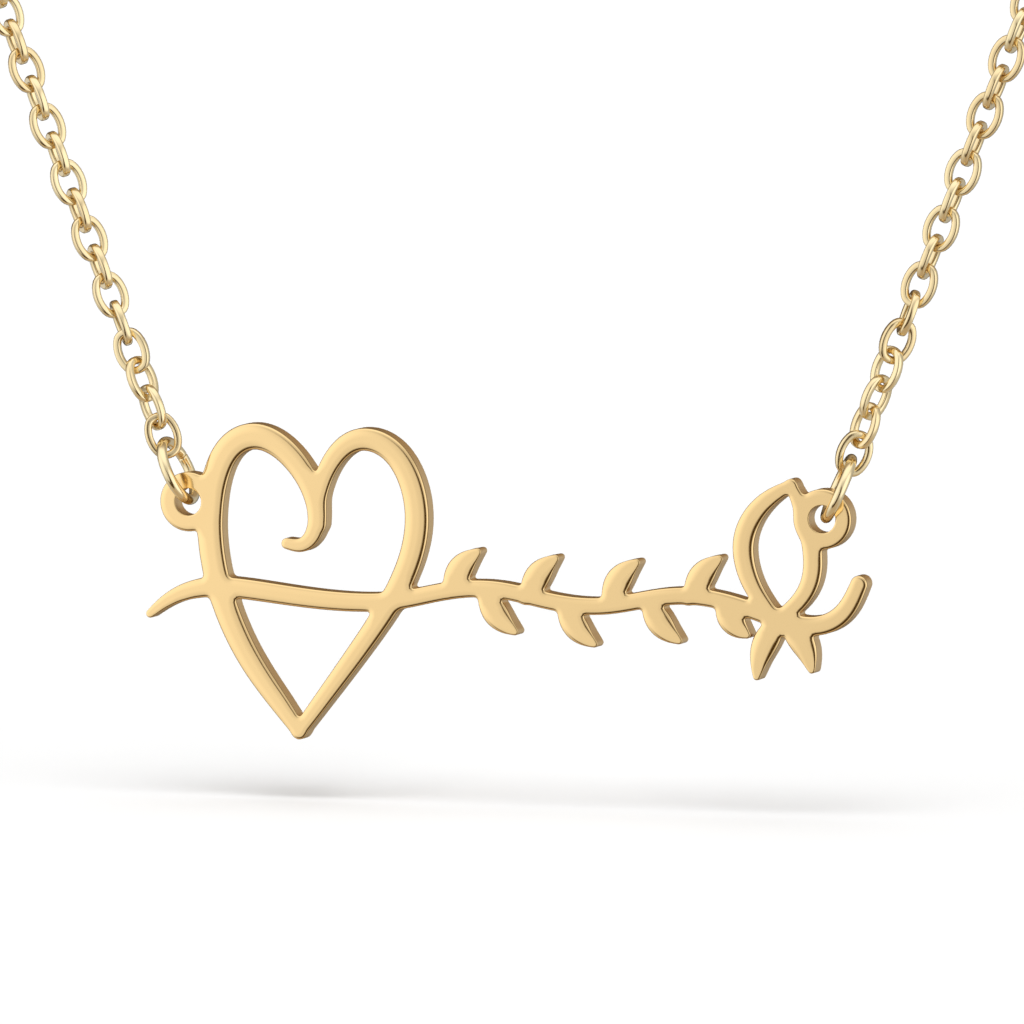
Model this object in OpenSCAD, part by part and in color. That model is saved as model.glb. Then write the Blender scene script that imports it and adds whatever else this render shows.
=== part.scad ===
// Nameplate necklace: a cut-out plate hung by two jump rings from a closed cable chain.
// Millimetres. X runs to the right, Y from the breastbone to the nape, Z up.
// The origin is the middle of the neck, where the chain goes round it.

/* [Plate] */
// Width of the cut-out plate, tip to tip
plate_w = 41.6; // [38:0.2:46]
// Height of the cut-out plate
plate_h = 16.9; // [15:0.1:19]
// Thickness of the plate
plate_t = 1.2; // [0.9:0.05:1.4]
// Width of the pen stroke at its broadest
stroke_w = 1.35; // [1.1:0.05:1.5]
// Length of one small leaf of the vine
leaf_l = 2.9; // [2.4:0.1:3.2]

/* [Eyelets] */
// Diameter of an eyelet hole
eyelet_bore = 1.6; // [1.5:0.05:1.8]
// Width of the metal round an eyelet hole
eyelet_rim = 0.85; // [0.7:0.05:1]

/* [Jump rings] */
// Outside diameter of a jump ring
ring_d = 4.1; // [3.9:0.05:4.6]
// Wire diameter of a jump ring
ring_wire = 0.62; // [0.5:0.02:0.66]
// Lean of the jump rings from the vertical, in degrees
ring_lean = 25; // [20:0.5:27]

/* [Chain] */
// Length of one link, outside
link_l = 2.61; // [2.53:0.02:2.91]
// Width of one link, outside
link_w = 2; // [1.9:0.02:2.3]
// Wire diameter of a link
link_wire = 0.41; // [0.36:0.01:0.44]
// Lean of the front of the chain from the vertical, in degrees
chain_lean = 21.6; // [18:0.2:25]

/* [Clasp] */
// Length of the clasp's barrel
clasp_l = 6.5; // [5:0.1:9]
// Diameter of the clasp's barrel
clasp_d = 2.6; // [2.2:0.1:3.4]
// Outside diameter of the eye at each end of the clasp
clasp_eye_d = 2.6; // [2.4:0.05:3]
// Wire diameter of a clasp's eye
clasp_eye_wire = 0.5; // [0.4:0.02:0.6]

/* [Hidden] */
GOLD = "#e9c583";
PALE_GOLD = "#f0cf86";
$fn = 48;

// Free space kept between two links that hang in each other, and between a jump ring and the
// link that holds it, where the ring swings
gap = 0.12;
hang_gap = 0.2;
// Radius left in the inner corners, where two strokes of the plate meet
corner_round = 0.18;
// Points worked out along each stretch between two points of a spline
steps = 10;
route_steps = 20;

// Where the plate hangs: its own middle plane, and the line of the vine's stem
plate_y = -54;
stem_z = -95;
// Middle of the clasp, at the nape
nape = [0, 48, 14.5];

// Route of the hidden stretch of the left chain, from the end of its straight front to the
// clasp. It goes out over the collarbone and round the side of the neck.
ROUTE = [
    [-39.3, -50, -39], [-44, -41.5, -28], [-48, -29, -17.5], [-50.3, -14.5, -8.5],
    [-50.3, 1, -1], [-47, 16.5, 5], [-39.8, 30, 9.5], [-29.5, 40, 12.5], [-17.5, 46, 14]
];
// Spacing of the points that draw the straight front of the chain
front_step = 13;

// Free space above a jump ring's wire in its eyelet hole, and the turn of each ring about its
// own long line, which is 0 where it stands square to the plate
ring_headroom = 0.39;
RING_TURN = [0, 18];

// How the links are turned about the chain, in degrees: the lowest ones one by one, from the
// jump ring, and those further up, where every second link lies flat to the front
LOW_TURNS = [[22, -40, 63, 1, 119], [28, -34, 63, -27, 35]];
LINK_TURN = [38, 26];
LINK_PARITY = [0, 1];

// Pen strokes of the plate. Each row is a point that draws the stroke: its place as a share of
// the plate's width from the left tip, its height above the stem as a share of the plate's
// height, and the stroke's width there as a share of the broadest stroke.
HEART_LEFT = [
    [0.198, 0.165, 0.45], [0.225, 0.15, 0.6], [0.247, 0.24, 0.8], [0.228, 0.4, 0.95],
    [0.167, 0.54, 1.08], [0.104, 0.488, 1.12], [0.083, 0.225, 1.12], [0.103, -0.02, 1.08],
    [0.142, -0.22, 1], [0.189, -0.365, 0.85], [0.215, -0.45, 0.6]
];
HEART_RIGHT = [
    [0.215, -0.45, 0.6], [0.247, -0.345, 0.72], [0.303, -0.163, 0.85], [0.364, 0.052, 1],
    [0.389, 0.275, 1.05], [0.356, 0.49, 1], [0.292, 0.535, 0.92], [0.253, 0.425, 0.8],
    [0.239, 0.3, 0.7], [0.242, 0.23, 0.6]
];
STEM = [
    [0.006, -0.078, 0.35], [0.034, -0.02, 0.6], [0.08, 0.02, 0.85], [0.142, 0.013, 0.85],
    [0.24, -0.02, 0.8], [0.343, -0.026, 0.75], [0.413, 0.026, 0.72], [0.49, 0.045, 0.7],
    [0.566, -0.006, 0.7], [0.642, -0.02, 0.7], [0.719, 0.033, 0.7], [0.788, 0.033, 0.7],
    [0.858, -0.02, 0.72], [0.927, -0.072, 0.78], [0.972, -0.02, 0.82], [0.99, 0.085, 0.72]
];
BUD_LEFT = [
    [0.878, -0.04, 0.6], [0.84, 0.065, 0.8], [0.824, 0.22, 0.95], [0.855, 0.345, 0.8],
    [0.897, 0.4, 0.45]
];
BUD_RIGHT = [
    [0.878, -0.04, 0.6], [0.917, 0.033, 0.75], [0.932, 0.143, 0.85], [0.917, 0.306, 0.8],
    [0.897, 0.4, 0.45]
];
STROKES = [HEART_LEFT, HEART_RIGHT, STEM, BUD_LEFT, BUD_RIGHT];

// Middle of each eyelet hole, as shares of the width and the height like a stroke's point
EYELETS = [[0.06, 0.293], [0.94, 0.293]];

// One leaf: the share of its length along it, the share of its length it bows aside, and its
// width as a share of the broadest stroke
LEAF = [[0, 0, 0.4], [0.2, 0.02, 0.8], [0.45, 0.08, 1.2], [0.72, 0.08, 0.85], [1, 0, 0.3]];
// Leaves of the vine: share of the plate's width, share of its height, angle from the right,
// length as a share of a small leaf, and the side the leaf bows to
LEAVES = [
    [0.422, 0.02, 52, 1, 1], [0.47, 0.026, -48, 1, -1], [0.53, 0.006, 52, 1, 1],
    [0.58, -0.006, -48, 1, -1], [0.642, 0, 52, 1, 1], [0.697, 0.013, -48, 1, -1],
    [0.756, 0.02, 52, 1, 1], [0.8, 0.013, -48, 0.8, -1], [0.884, -0.02, -112, 1.28, -1],
    [0.887, -0.03, -60, 1.12, 1]
];

// Cubic spline near the points p, of any number of columns, from the first to the last
function spline_weights(t) =
    [pow(1 - t, 3), 3 * pow(t, 3) - 6 * t * t + 4, -3 * pow(t, 3) + 3 * t * t + 3 * t + 1,
     pow(t, 3)] / 6;
function spline_ends(p) =
    let (n = len(p)) concat([2 * p[0] - p[1]], p, [2 * p[n - 1] - p[n - 2]]);
function spline(p, steps) =
    let (q = spline_ends(p))
    concat(
        [for (i = [0 : len(p) - 2], k = [0 : steps - 1])
            spline_weights(k / steps) * [q[i], q[i + 1], q[i + 2], q[i + 3]]],
        [p[len(p) - 1]]
    );
function unit(v) = v / norm(v);
function smooth(t) = let (c = max(0, min(1, t))) c * c * (3 - 2 * c);

// Pen stroke: the plate's own X and Z, and the stroke's width, at each worked out point
function on_plate(row) =
    [(row[0] - 0.5) * plate_w, row[1] * plate_h, row[2] * stroke_w];
function leaf_rows(leaf) =
    let (l = leaf[3] * leaf_l, a = leaf[2])
    [for (r = LEAF) [
        (leaf[0] - 0.5) * plate_w + l * (r[0] * cos(a) - leaf[4] * r[1] * sin(a)),
        leaf[1] * plate_h + l * (r[0] * sin(a) + leaf[4] * r[1] * cos(a)),
        r[2] * stroke_w
    ]];
function eyelet_hole(side) = [(EYELETS[side][0] - 0.5) * plate_w, EYELETS[side][1] * plate_h];
function along(p, i) =
    let (a = p[max(i - 1, 0)], b = p[min(i + 1, len(p) - 1)]) unit([b[0] - a[0], b[1] - a[1]]);
function beside(p, i, side) =
    let (d = along(p, i)) [p[i][0], p[i][1]] + side * p[i][2] / 2 * [-d[1], d[0]];

module stroke(rows) {
    p = spline(rows, steps);
    n = len(p) - 1;
    polygon(concat([for (i = [0 : n]) beside(p, i, 1)], [for (i = [n : -1 : 0]) beside(p, i, -1)]));
    for (end = [p[0], p[n]])
        translate([end[0], end[1]])
            circle(d = end[2]);
}

module nameplate() {
    color(GOLD)
        translate([0, plate_y + plate_t / 2, stem_z])
            rotate([90, 0, 0])
                difference() {
                    linear_extrude(plate_t)
                        offset(r = -corner_round)
                            offset(delta = corner_round)
                                plate_outline();
                    for (side = [0, 1])
                        translate(concat(eyelet_hole(side), [-plate_t]))
                            cylinder(d = eyelet_bore, h = 3 * plate_t);
                }
}
module plate_outline() {
    for (rows = STROKES)
        stroke([for (row = rows) on_plate(row)]);
    for (leaf = LEAVES)
        stroke(leaf_rows(leaf));
    for (side = [0, 1])
        translate(eyelet_hole(side))
            circle(d = eyelet_bore + 2 * eyelet_rim);
}

// Jump rings. side is 0 for the left one and 1 for the right one.
ring_r = (ring_d - ring_wire) / 2;
ring_lift = (eyelet_bore - ring_wire) / 2 - ring_headroom;
function out(side) = side == 0 ? -1 : 1;
function lean(side, angle) = [out(side) * sin(angle), 0, cos(angle)];
function ring_middle(side) =
    let (hole = eyelet_hole(side))
    [hole[0], plate_y, stem_z + hole[1]] + (ring_lift + ring_r) * lean(side, ring_lean);
function ring_top(side) = ring_middle(side) + ring_r * lean(side, ring_lean);

module jump_ring(side) {
    color(PALE_GOLD)
        translate(ring_middle(side))
            rotate([0, out(side) * ring_lean, 0])
                rotate([0, 0, RING_TURN[side]])
                    rotate([0, 90, 0])
                        rotate_extrude()
                            translate([ring_r, 0])
                                circle(d = ring_wire);
}
module jump_ring_left() { jump_ring(0); }
module jump_ring_right() { jump_ring(1); }

// Clasp: a plain barrel with a soldered eye at each end
clasp_eye_r = (clasp_eye_d - clasp_eye_wire) / 2;
clasp_eye_x = clasp_l / 2 + clasp_eye_r - clasp_eye_wire / 4;
clasp_reach = clasp_eye_x + clasp_eye_r;
clasp_round = clasp_d / 4;

module clasp() {
    color(PALE_GOLD)
        translate(nape)
            union() {
                rotate([0, 90, 0])
                    rotate_extrude()
                        barrel_profile();
                for (side = [-1, 1])
                    translate([side * clasp_eye_x, 0, 0])
                        rotate([90, 0, 0])
                            rotate_extrude()
                                translate([clasp_eye_r, 0])
                                    circle(d = clasp_eye_wire);
            }
}
module barrel_profile() {
    difference() {
        union() {
            translate([0, -clasp_l / 2])
                square([clasp_d / 2 - clasp_round, clasp_l]);
            translate([0, clasp_round - clasp_l / 2])
                square([clasp_d / 2, clasp_l - 2 * clasp_round]);
            for (side = [-1, 1])
                translate([clasp_d / 2 - clasp_round, side * (clasp_l / 2 - clasp_round)])
                    circle(r = clasp_round);
        }
        translate([-clasp_d, -clasp_l])
            square([clasp_d, 2 * clasp_l]);
    }
}

// Chain: the line of its joints, one between each two links, by its length from the jump ring
link_h = (link_l - link_wire) / 2;
pitch_max = link_l - 2 * link_wire - gap;
function flip(p, side) = [side == 0 ? p[0] : -p[0], p[1], p[2]];
function chain_foot(side) =
    ring_top(side) - ((ring_wire - gap) / 2 + hang_gap) * lean(side, chain_lean);
function chain_head(side) =
    nape + [out(side) * (clasp_reach - clasp_eye_wire / 2 - (clasp_eye_wire + gap) / 2), 0, 0];
function route_points(side) =
    let (foot = chain_foot(side), head = chain_head(side))
    concat(
        [for (k = [0 : 3]) foot + k * front_step * lean(side, chain_lean)],
        [for (p = ROUTE) flip(p, side)],
        [head + [out(side) * front_step / 2, 0, 0], head]
    );
function lengths(p) =
    [for (i = 0, s = 0; i < len(p); i = i + 1, s = s + norm(p[min(i, len(p) - 1)] - p[i - 1])) s];
function place(s, keys, p) =
    [for (c = [0 : 2]) lookup(s, [for (i = [0 : len(p) - 1]) [keys[i], p[i][c]]])];
function joints(side) =
    let (
        p = spline(route_points(side), route_steps),
        keys = lengths(p),
        total = keys[len(keys) - 1],
        n = ceil(total / pitch_max)
    )
    [for (i = [0 : n]) place(total * i / n, keys, p)];

// Normals carried along the chain without twist, one for each link, starting to the front
function carried(n, t) = unit(n - (n * t) * t);
function normals(j) =
    [for (i = 0, n = carried([0, -1, 0], unit(j[1] - j[0]));
        i < len(j) - 1;
        i = i + 1, n = i < len(j) - 1 ? carried(n, unit(j[i + 1] - j[i])) : n) n];
function turned(n, t, angle) = n * cos(angle) + cross(t, n) * sin(angle);

// Turn of each link. The hidden stretch adds a slow twist, so that the last link crosses the
// clasp's eye squarely.
function quarter(side, i) = 90 * ((i + 1 + LINK_PARITY[side]) % 2);
function front_turn(side, i) =
    i < len(LOW_TURNS[side]) ? LOW_TURNS[side][i] : quarter(side, i) + LINK_TURN[side];
function link_turn(side, i, last, slack) =
    front_turn(side, i) + slack * smooth((i / last - 0.4) / 0.6);
function turn_between(n, want, t) = atan2(cross(n, want) * t, n * want);
function wrapped(a) = a - 180 * round(a / 180);

module link() {
    w = (link_w - link_wire) / 2;
    for (k = [0, 1])
        rotate([0, 0, 180 * k])
            union() {
                translate([0, link_h - w])
                    rotate_extrude(angle = 180)
                        translate([w, 0])
                            circle(d = link_wire);
                translate([w, w - link_h])
                    rotate([-90, 0, 0])
                        cylinder(d = link_wire, h = 2 * (link_h - w));
            }
}

module chain(side) {
    j = joints(side);
    n = normals(j);
    last = len(j) - 2;
    t_last = unit(j[last + 1] - j[last]);
    bare = front_turn(side, last);
    slack = wrapped(turn_between(turned(n[last], t_last, bare), [0, 0, 1], t_last));
    color(PALE_GOLD)
        for (i = [0 : last]) {
            t = unit(j[i + 1] - j[i]);
            front = turned(n[i], t, link_turn(side, i, last, slack));
            x = cross(t, front);
            m = (j[i] + j[i + 1]) / 2;
            multmatrix([
                [x[0], t[0], front[0], m[0]],
                [x[1], t[1], front[1], m[1]],
                [x[2], t[2], front[2], m[2]],
                [0, 0, 0, 1]
            ])
                link();
        }
}
module chain_left() { chain(0); }
module chain_right() { chain(1); }

nameplate();
jump_ring_left();
jump_ring_right();
chain_left();
chain_right();
clasp();
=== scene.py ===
"""Looks of a nameplate necklace: a polished cut-out plate that hangs from a fine cable chain.

The plate, its two jump rings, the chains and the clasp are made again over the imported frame, with
the rounded edges, oval links and polish of the real jewel. Sizes are in millimetres in the classes
below, and become metres where a mesh is made. X runs to the right, Y from the breastbone to the
nape and Z up, as in the frame.
"""

import logging
import math
from dataclasses import dataclass, field
from enum import Enum

import bpy
import numpy as np
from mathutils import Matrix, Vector
from mathutils.geometry import delaunay_2d_cdt


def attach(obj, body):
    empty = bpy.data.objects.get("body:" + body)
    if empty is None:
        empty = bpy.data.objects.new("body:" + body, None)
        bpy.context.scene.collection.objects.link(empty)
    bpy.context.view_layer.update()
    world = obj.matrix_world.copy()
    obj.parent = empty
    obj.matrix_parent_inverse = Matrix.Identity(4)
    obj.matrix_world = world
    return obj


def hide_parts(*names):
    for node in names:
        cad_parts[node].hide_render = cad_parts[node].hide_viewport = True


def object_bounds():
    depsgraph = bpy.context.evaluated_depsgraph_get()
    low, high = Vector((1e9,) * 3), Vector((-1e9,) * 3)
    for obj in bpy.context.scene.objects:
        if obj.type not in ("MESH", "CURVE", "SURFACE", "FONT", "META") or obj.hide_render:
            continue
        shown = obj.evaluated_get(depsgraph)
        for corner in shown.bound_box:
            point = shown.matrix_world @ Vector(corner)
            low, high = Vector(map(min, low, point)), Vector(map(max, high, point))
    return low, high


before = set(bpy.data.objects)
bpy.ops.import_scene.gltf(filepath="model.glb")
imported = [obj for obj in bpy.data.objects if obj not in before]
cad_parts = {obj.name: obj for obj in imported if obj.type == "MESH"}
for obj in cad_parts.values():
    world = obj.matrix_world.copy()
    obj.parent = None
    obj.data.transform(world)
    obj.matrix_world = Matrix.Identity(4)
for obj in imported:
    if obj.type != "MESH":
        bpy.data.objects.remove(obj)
CAD_BOX = [list(corner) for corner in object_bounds()]

LOG = logging.getLogger("necklace")
MM = 0.001
# The sRGB curve: where its straight start ends, how steep that is, and the bend that follows
SRGB_KNEE = 0.04045
SRGB_SLOPE = 12.92
SRGB_OFFSET = 0.055
SRGB_POWER = 2.4
# Middle value of a noise that runs from about 0 to 1
NOISE_MIDDLE = 0.5
# Width of the saw cut where a jump ring's ends meet, and how much of the wire's diameter is
# bevelled off at each end
SAW_CUT = 0.024
CUT_EDGE_SHARE = 0.06
# Corners of the plate's flat faces that lie closer than this are one
SAME_POINT = 1e-7
# How much of its red, green and blue a wholly brown light lacks
BROWN_LOSS = (0.0, 0.45, 0.95)

Row = tuple[float, ...]
Colour = tuple[float, float, float]
Faces = list[tuple[int, ...]]


class Side(Enum):
    """One half of the necklace, by the sign of its X."""

    LEFT = -1
    RIGHT = 1

    @property
    def word(self) -> str:
        """The side's word in the names of nodes."""
        return self.name.lower()


# Numbers and curves


def linear(code: str) -> Colour:
    """Turn a colour as it is seen into the light that Blender mixes, by the sRGB curve.

    Args:
        code: The colour as a hexadecimal code, such as "#e9c583".

    Returns:
        Red, green and blue in linear light.
    """
    shares = [int(code[k : k + 2], 16) / 255 for k in (1, 3, 5)]
    bent = [((c + SRGB_OFFSET) / (1 + SRGB_OFFSET)) ** SRGB_POWER for c in shares]
    return tuple(c / SRGB_SLOPE if c <= SRGB_KNEE else b for c, b in zip(shares, bent))


def unit(v: np.ndarray) -> np.ndarray:
    """Scale a vector, or each row of an array, to length 1."""
    return v / np.linalg.norm(v, axis=-1, keepdims=True)


def smooth(value: np.ndarray | float, low: float, high: float) -> np.ndarray | float:
    """Pass from 0 to 1 with level ends, while a value passes from low to high.

    Args:
        value: The value, or several.
        low: Where the result starts to grow.
        high: Where it has become 1.

    Returns:
        The result for each value.
    """
    t = np.clip((value - low) / (high - low), 0.0, 1.0)
    return t * t * (3 - 2 * t)


def spline(rows: np.ndarray, steps: int) -> np.ndarray:
    """Draw a cubic spline near points, from the first to the last.

    Args:
        rows: One point to a row, with any number of columns.
        steps: Points worked out on each stretch between two of the given ones.

    Returns:
        The worked out points, one to a row.
    """
    q = np.vstack([2 * rows[0] - rows[1], rows, 2 * rows[-1] - rows[-2]])
    t = np.arange(steps) / steps
    weights = np.stack(
        [(1 - t) ** 3, 3 * t**3 - 6 * t**2 + 4, -3 * t**3 + 3 * t**2 + 3 * t + 1, t**3], axis=1
    )
    stretches = [weights @ q[i : i + 4] / 6 for i in range(len(rows) - 1)]
    return np.vstack([*stretches, rows[-1:]])


def lengths_along(points: np.ndarray) -> np.ndarray:
    """Give the length of a line of points up to each of them."""
    return np.concatenate([[0.0], np.cumsum(np.linalg.norm(np.diff(points, axis=0), axis=1))])


def respaced(points: np.ndarray, count: int) -> np.ndarray:
    """Place a number of points at even lengths along a line of points, ends included.

    Args:
        points: The line, one point to a row.
        count: How many points to place.

    Returns:
        The new points, one to a row.
    """
    keys = lengths_along(points)
    wanted = np.linspace(0, keys[-1], count)
    return np.stack([np.interp(wanted, keys, column) for column in points.T], axis=1)


def evened(values: np.ndarray, times: int) -> np.ndarray:
    """Even out what lies round a closed line, each value with its two neighbours.

    Args:
        values: One value, or one point, to a row.
        times: How often this is done.

    Returns:
        The new values.
    """
    for _ in range(times):
        values = (np.roll(values, 1, 0) + 2 * values + np.roll(values, -1, 0)) / 4
    return values


def towards(azimuth: float, elevation: float) -> Row:
    """Point from the middle of the scene to a place round it.

    Args:
        azimuth: Its direction from the front towards the right, in degrees.
        elevation: Its height above the horizon, in degrees.

    Returns:
        The direction, of length 1.
    """
    a, e = math.radians(azimuth), math.radians(elevation)
    return (math.sin(a) * math.cos(e), -math.cos(a) * math.cos(e), math.sin(e))


# Nodes


class Sock:
    """One output of a node, or a plain value. Those that are numbers take part in sums.

    Args:
        nodes: The tree's node maker.
        value: The output socket, a number or a colour.
    """

    def __init__(self, nodes: "Nodes", value: bpy.types.NodeSocket | float | Row) -> None:
        """Hold the value and its node maker."""
        self.nodes = nodes
        self.value = value

    def _with(self, operation: str, first: object, second: object) -> "Sock":
        """Add a Math node for an operation on two values.

        Args:
            operation: The node's operation.
            first: The first value.
            second: The second value.

        Returns:
            The node's result.
        """
        return self.nodes.add("ShaderNodeMath", {"operation": operation}, {0: first, 1: second})

    def __add__(self, other: object) -> "Sock":
        """Add."""
        return self._with("ADD", self, other)

    def __radd__(self, other: object) -> "Sock":
        """Add to a number."""
        return self._with("ADD", other, self)

    def __sub__(self, other: object) -> "Sock":
        """Take away."""
        return self._with("SUBTRACT", self, other)

    def __rsub__(self, other: object) -> "Sock":
        """Take away from a number."""
        return self._with("SUBTRACT", other, self)

    def __mul__(self, other: object) -> "Sock":
        """Multiply."""
        return self._with("MULTIPLY", self, other)

    def __rmul__(self, other: object) -> "Sock":
        """Multiply a number."""
        return self._with("MULTIPLY", other, self)

    def __truediv__(self, other: object) -> "Sock":
        """Divide."""
        return self._with("DIVIDE", self, other)

    def __rtruediv__(self, other: object) -> "Sock":
        """Divide a number."""
        return self._with("DIVIDE", other, self)


class Nodes:
    """Makes and links the nodes of one tree.

    Args:
        tree: The node tree, which is emptied first.
    """

    def __init__(self, tree: bpy.types.NodeTree) -> None:
        """Hold the tree and empty it."""
        self.tree = tree
        tree.nodes.clear()

    def add(self, kind: str, settings: dict, inputs: dict, output: int | str = 0) -> Sock:
        """Add one node.

        Args:
            kind: The node's type name.
            settings: Values of the node's own properties, set first.
            inputs: Value or link of each input socket, by name or number.
            output: Name or number of the output to give back.

        Returns:
            The chosen output.
        """
        node = self.tree.nodes.new(kind)
        for name, value in settings.items():
            setattr(node, name, value)
        for name, value in inputs.items():
            self.feed(node.inputs[name], value)
        return Sock(self, node.outputs[output]) if node.outputs else Sock(self, 0.0)

    def feed(self, socket: bpy.types.NodeSocket, value: object) -> None:
        """Give an input socket its value, or link it.

        Args:
            socket: The input.
            value: A number, a tuple, a name, or another node's output.
        """
        value = value.value if isinstance(value, Sock) else value
        if isinstance(value, bpy.types.NodeSocket):
            self.tree.links.new(value, socket)
        elif socket.type == "RGBA" and len(value) == 3:
            socket.default_value = (*value, 1.0)
        else:
            socket.default_value = value

    def attribute(self, name: str) -> Sock:
        """Read a number that the mesh keeps at each point, in a material."""
        return self.add("ShaderNodeAttribute", {"attribute_name": name}, {}, "Fac")

    def named(self, name: str, kind: str) -> Sock:
        """Read what a mesh keeps at each point, in a tree of Geometry Nodes."""
        return self.add("GeometryNodeInputNamedAttribute", {"data_type": kind}, {"Name": name})

    def noise(self, scale: float, detail: float, stretch: Row = (1, 1, 1)) -> Sock:
        """Add noise on object coordinates.

        Args:
            scale: Waves to a metre.
            detail: How many finer layers it has.
            stretch: Factors of the scale along X, Y and Z.

        Returns:
            The noise, from about 0 to 1.
        """
        place = self.add("ShaderNodeTexCoord", {}, {}, "Object")
        mapped = self.add("ShaderNodeMapping", {}, {"Vector": place, "Scale": stretch})
        inputs = {"Vector": mapped, "Scale": scale, "Detail": detail}
        return self.add("ShaderNodeTexNoise", {}, inputs, "Fac")

    def ranged(self, value: Sock, low: float, high: float) -> Sock:
        """Pass from 0 to 1 with level ends, while a value passes from low to high.

        Args:
            value: The value.
            low: Where the result starts to grow.
            high: Where it has become 1.

        Returns:
            The result.
        """
        inputs = {"Value": value, 1: low, 2: high, 3: 0.0, 4: 1.0}
        return self.add("ShaderNodeMapRange", {"interpolation_type": "SMOOTHSTEP"}, inputs)

    def mixed(self, share: object, first: object, second: object) -> Sock:
        """Mix two colours.

        Args:
            share: How much of the second colour.
            first: The first colour.
            second: The second colour.

        Returns:
            The mixed colour.
        """
        inputs = {"Factor": share, 6: first, 7: second}
        return self.add("ShaderNodeMix", {"data_type": "RGBA"}, inputs, 2)

    def surface(self, inputs: dict) -> None:
        """Add a material's shader and its output."""
        shader = self.add("ShaderNodeBsdfPrincipled", {}, inputs)
        self.add("ShaderNodeOutputMaterial", {}, {"Surface": shader})


def new_material(name: str) -> tuple[bpy.types.Material, Nodes]:
    """Start a material that has no nodes yet.

    Args:
        name: Its name.

    Returns:
        The material and its node maker.
    """
    material = bpy.data.materials.new(name)
    material.use_nodes = True
    return material, Nodes(material.node_tree)


# Finishes


@dataclass(frozen=True)
class Gold:
    """A polished gold finish.

    Args:
        name: The material's name.
        tone: Colour of the open metal.
        deep: Colour that the metal takes in patches, and on cut walls.
        roughness: Roughness of the open metal.
        wall_roughness: Roughness added on cut walls.
        wall_share: How much of the deep colour a cut wall takes.
        lip: Colour of a thin dark line painted along the softened edge above a cut wall: a
            painted shade that stands in for the dark reflection along that edge.
        painted_edge_shade_share: How much of that painted shade shows there.
        patch_share: How much of the deep colour the patches take.
        tone_share: How much of it a link takes, by the tone of its own that each link has.
        patch_roughness: How far the roughness changes over the patches.
        patch_scale: Patches to a metre.
        patch_detail: Finer layers of the patches.
        polish_roughness: How far the roughness changes over the polishing marks.
        polish_scale: Polishing marks to a metre.
        polish_detail: Finer layers of the marks.
        polish_stretch: Factors of their scale along X, Y and Z.
        polish_height: Their height, in metres.
        polish_strength: How much of that height shows.
    """

    name: str
    tone: str
    deep: str
    roughness: float
    wall_roughness: float = 0.0
    wall_share: float = 0.0
    # Painted shade: the dark brown of a line painted along the softened edge
    lip: str = "#543a17"
    painted_edge_shade_share: float = 0.0
    patch_share: float = 0.16
    tone_share: float = 0.3
    patch_roughness: float = 0.05
    patch_scale: float = 180.0
    patch_detail: float = 2.0
    polish_roughness: float = 0.03
    polish_scale: float = 9000.0
    polish_detail: float = 4.0
    polish_stretch: Row = (1, 1, 0.12)
    polish_height: float = 0.0000005
    polish_strength: float = 0.5

    def make(self) -> bpy.types.Material:
        """Build the material.

        Returns:
            The new material.
        """
        material, nodes = new_material(self.name)
        wall, tone = nodes.attribute("wall"), nodes.attribute("tone")
        patches = nodes.noise(self.patch_scale, self.patch_detail)
        marks = nodes.noise(self.polish_scale, self.polish_detail, self.polish_stretch)
        depth = wall * self.wall_share + patches * self.patch_share + tone * self.tone_share
        rough = self.roughness + wall * self.wall_roughness
        rough = rough + (patches - NOISE_MIDDLE) * self.patch_roughness
        rough = rough + (marks - NOISE_MIDDLE) * self.polish_roughness
        metal = nodes.mixed(depth, linear(self.tone), linear(self.deep))
        # Paint a thin dark line along the softened edge above the cut walls: painted shade, not a mark
        # on the metal
        if self.painted_edge_shade_share:
            lip = nodes.attribute("lip") * self.painted_edge_shade_share
            metal = nodes.mixed(lip, metal, linear(self.lip))
        relief = {"Strength": self.polish_strength, "Distance": self.polish_height, "Height": marks}
        bump = nodes.add("ShaderNodeBump", {}, relief)
        nodes.surface({"Base Color": metal, "Metallic": 1.0, "Roughness": rough, "Normal": bump})
        return material


@dataclass(frozen=True)
class Paper:
    """A plain matt finish for what the object stands over.

    Args:
        name: The material's name.
        tone: Its colour.
        roughness: Its roughness.
    """

    name: str
    tone: str
    roughness: float = 0.9

    def make(self) -> bpy.types.Material:
        """Build the material.

        Returns:
            The new material.
        """
        material, nodes = new_material(self.name)
        colour = linear(self.tone)
        nodes.surface({"Base Color": colour, "Roughness": self.roughness, "Specular IOR Level": 0.0})
        return material


# The plate's finish paints a thin dark shade line along its softened edges, by
# painted_edge_shade_share
PLATE_GOLD = Gold(
    "plate_gold", "#f9d89d", "#dcb274", 0.12, wall_roughness=0.2, wall_share=0.3, painted_edge_shade_share=0.9
)
CHAIN_GOLD = Gold(
    "chain_gold", "#f3e1b5", "#dfbd83", 0.15, patch_scale=900.0, polish_height=0.0000004
)
FLOOR_PAPER = Paper("floor_paper", "#f3f3f3")


# Pieces


def in_scene(name: str, data: bpy.types.ID) -> bpy.types.Object:
    """Put a mesh, a lamp or a camera into the scene.

    Args:
        name: The new object's name.
        data: What it shows.

    Returns:
        The new object, at the origin.
    """
    holder = bpy.data.objects.new(name, data)
    bpy.context.scene.collection.objects.link(holder)
    return holder


def keep_values(mesh: bpy.types.Mesh, name: str, values: np.ndarray) -> None:
    """Keep a number, a direction, or a yes or no, at each point of a mesh.

    Args:
        mesh: The mesh.
        name: The name that nodes read the values by.
        values: One value, or one direction, to a row.
    """
    truths, directions = values.dtype == bool, values.ndim == 2
    kind = "BOOLEAN" if truths else "FLOAT_VECTOR" if directions else "FLOAT"
    layer = mesh.attributes.new(name, kind, "POINT")
    plain = values if truths else values.astype(np.float32).ravel()
    layer.data.foreach_set("vector" if directions else "value", plain)


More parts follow.
